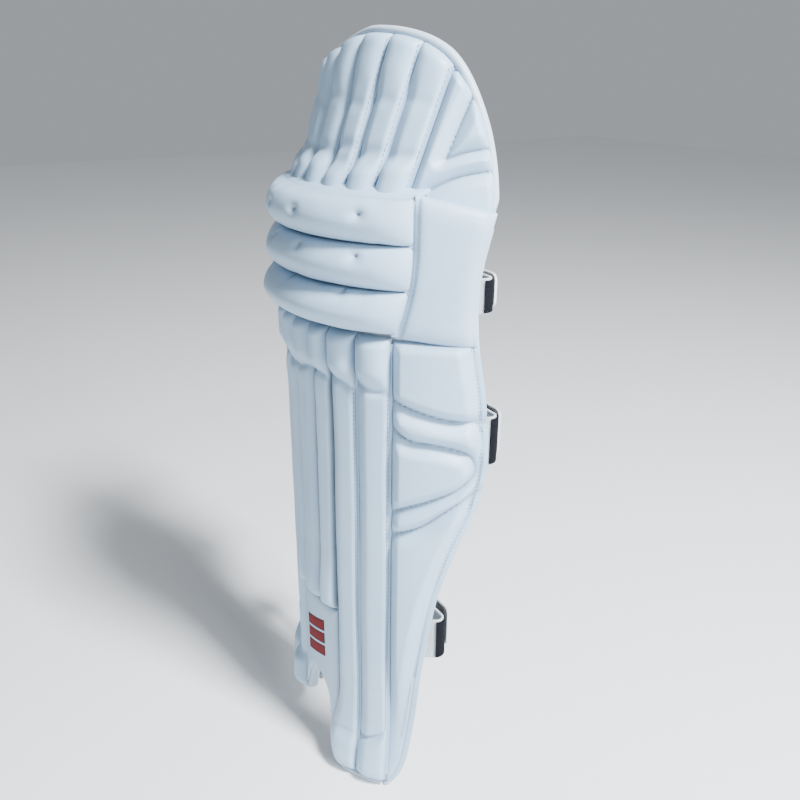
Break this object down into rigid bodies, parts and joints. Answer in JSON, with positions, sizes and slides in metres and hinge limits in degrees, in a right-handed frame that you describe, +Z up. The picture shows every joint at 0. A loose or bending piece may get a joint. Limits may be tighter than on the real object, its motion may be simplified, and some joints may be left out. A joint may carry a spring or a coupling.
{
  "type": "cricket leg pad",
  "caption": "Padded leg guard: lengthwise shin bolsters, horizontal knee rolls, a leaning thigh flap, curved side wings and hook-and-loop straps behind the leg.",
  "frame": {"origin": "middle of the pad's width and depth, at the height of the lowest point of the longer bottom lobe", "axes": "+Z up along the shin, the front of the pad faces -Y, +X is to the right of someone who looks at the front"},
  "size_m": [0.2904, 0.1523, 0.7181],
  "materials": {
    "pad_cover": "smooth white coated leather, fine grain, semi-matt",
    "patch_cover": "smooth white coated leather with a plain printed motif",
    "binding_tape": "folded white coated tape, stitched",
    "foam_board": "foam board in a white cloth cover",
    "lining_cloth": "brushed off-white cloth over soft foam",
    "cane": "split cane, varnished",
    "webbing": "white woven elastic webbing",
    "loop_pile": "black loop pile, matt",
    "hook_tape": "black moulded hook tape"
  },
  "bodies": {
    "shin": {"shin_board": "foam_board", "shin_bolster_left_outer": "pad_cover", "shin_bolster_left_middle": "pad_cover", "shin_bolster_left_inner": "pad_cover", "shin_bolster_centre": "pad_cover", "shin_bolster_right_inner": "pad_cover", "shin_bolster_right_middle": "pad_cover", "shin_bolster_right_outer": "pad_cover", "instep_patch": "patch_cover", "knee_backing": "pad_cover", "knee_roll_lower": "pad_cover", "knee_roll_middle": "pad_cover", "knee_roll_top": "pad_cover", "cane_strip_1": "cane", "cane_strip_2": "cane", "cane_strip_3": "cane", "cane_strip_4": "cane", "cane_strip_5": "cane", "shin_lining": "lining_cloth", "knee_cradle_left": "lining_cloth", "knee_cradle_centre": "lining_cloth", "knee_cradle_right": "lining_cloth"},
    "hat": {"hat_board": "foam_board", "hat_bolster_left_outer": "pad_cover", "hat_bolster_left_middle": "pad_cover", "hat_bolster_left_inner": "pad_cover", "hat_bolster_centre": "pad_cover", "hat_bolster_right_inner": "pad_cover", "hat_bolster_right_middle": "pad_cover", "hat_bolster_right_outer": "pad_cover", "hat_lining": "lining_cloth", "hat_binding": "binding_tape", "upper_wing_left": "pad_cover", "upper_wing_right": "pad_cover"},
    "left_wing": {"lower_wing_left": "pad_cover", "knee_panel_left": "pad_cover", "knee_strap_anchor": "webbing", "calf_strap_anchor": "webbing", "ankle_strap_anchor": "webbing"},
    "right_wing": {"lower_wing_right": "pad_cover", "knee_panel_right": "pad_cover", "knee_tab_anchor": "webbing", "calf_tab_anchor": "webbing", "ankle_tab_anchor": "webbing"},
    "knee_strap": {"knee_strap": "webbing", "knee_strap_hook": "hook_tape"},
    "calf_strap": {"calf_strap": "webbing", "calf_strap_hook": "hook_tape"},
    "ankle_strap": {"ankle_strap": "webbing", "ankle_strap_hook": "hook_tape"},
    "knee_tab": {"knee_tab": "webbing", "knee_tab_loop": "loop_pile"},
    "calf_tab": {"calf_tab": "webbing", "calf_tab_loop": "loop_pile"},
    "ankle_tab": {"ankle_tab": "webbing", "ankle_tab_loop": "loop_pile"}
  },
  "joints": [
    {"name": "knee_flex", "type": "hinge", "parent": "shin", "child": "hat", "pos_m": [0, 0.015, 0.572], "axis": [-1, 0, 0], "range_deg": [0, 20], "stiffness_Nm_per_rad": 2},
    {"name": "left_wing_splay", "type": "hinge", "parent": "shin", "child": "left_wing", "pos_m": [-0.095, -0.0177, 0.3], "axis": [0, 0, 1], "range_deg": [0, 20], "stiffness_Nm_per_rad": 0.5},
    {"name": "right_wing_splay", "type": "hinge", "parent": "shin", "child": "right_wing", "pos_m": [0.095, -0.0177, 0.3], "axis": [0, 0, -1], "range_deg": [0, 20], "stiffness_Nm_per_rad": 0.5},
    {"name": "knee_strap_open", "type": "hinge", "parent": "left_wing", "child": "knee_strap", "pos_m": [-0.12998, 0.04715, 0.518], "axis": [0, 0, 1], "range_deg": [0, 90]},
    {"name": "calf_strap_open", "type": "hinge", "parent": "left_wing", "child": "calf_strap", "pos_m": [-0.13316, 0.05748, 0.388], "axis": [0, 0, 1], "range_deg": [0, 90]},
    {"name": "ankle_strap_open", "type": "hinge", "parent": "left_wing", "child": "ankle_strap", "pos_m": [-0.11195, 0.02103, 0.178], "axis": [0, 0, 1], "range_deg": [0, 90]},
    {"name": "knee_tab_fold", "type": "hinge", "parent": "right_wing", "child": "knee_tab", "pos_m": [0.12998, 0.04715, 0.518], "axis": [0, 0, 1], "range_deg": [0, 60]},
    {"name": "calf_tab_fold", "type": "hinge", "parent": "right_wing", "child": "calf_tab", "pos_m": [0.13316, 0.05748, 0.388], "axis": [0, 0, 1], "range_deg": [0, 60]},
    {"name": "ankle_tab_fold", "type": "hinge", "parent": "right_wing", "child": "ankle_tab", "pos_m": [0.11195, 0.02103, 0.178], "axis": [0, 0, 1], "range_deg": [0, 60]}
  ]
}
